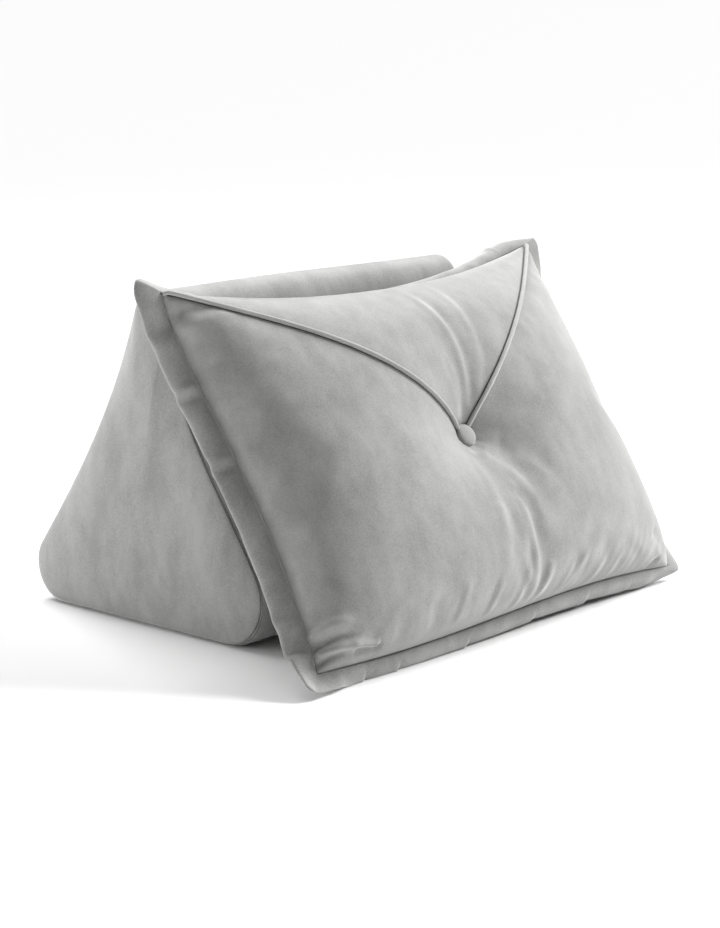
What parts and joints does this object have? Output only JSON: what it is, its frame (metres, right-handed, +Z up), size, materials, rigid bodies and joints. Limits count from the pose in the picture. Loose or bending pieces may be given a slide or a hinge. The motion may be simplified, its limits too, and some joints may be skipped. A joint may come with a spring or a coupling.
{
  "type": "back support cushion",
  "caption": "Light grey velvet back support cushion: a filled wedge with a flat-bordered pillow leaning on its front, with a piped V seam and a covered tuft button.",
  "frame": {"origin": "centre of the bounding box's footprint, on the surface that the cushion stands on", "axes": "+Z up; +X along the pillow's width, to the right of somebody who looks at its face; -Y out of the pillow's face"},
  "size_m": [0.5982, 0.491, 0.3654],
  "materials": {
    "velvet_wedge": "short-pile light grey velvet, soft mottled nap",
    "velvet_pillow": "short-pile light grey velvet, soft mottled nap",
    "velvet_border": "short-pile light grey velvet, doubled and stitched flat",
    "velvet_piping": "light grey velvet cut on the bias round a cord",
    "velvet_button": "light grey velvet stretched over a domed button"
  },
  "bodies": {
    "root": {"wedge_body": "velvet_wedge", "wedge_end_left": "velvet_wedge", "wedge_end_right": "velvet_wedge", "pillow_body": "velvet_pillow", "pillow_border": "velvet_border", "piping_left": "velvet_piping", "piping_right": "velvet_piping", "tuft_button": "velvet_button"}
  },
  "joints": []
}
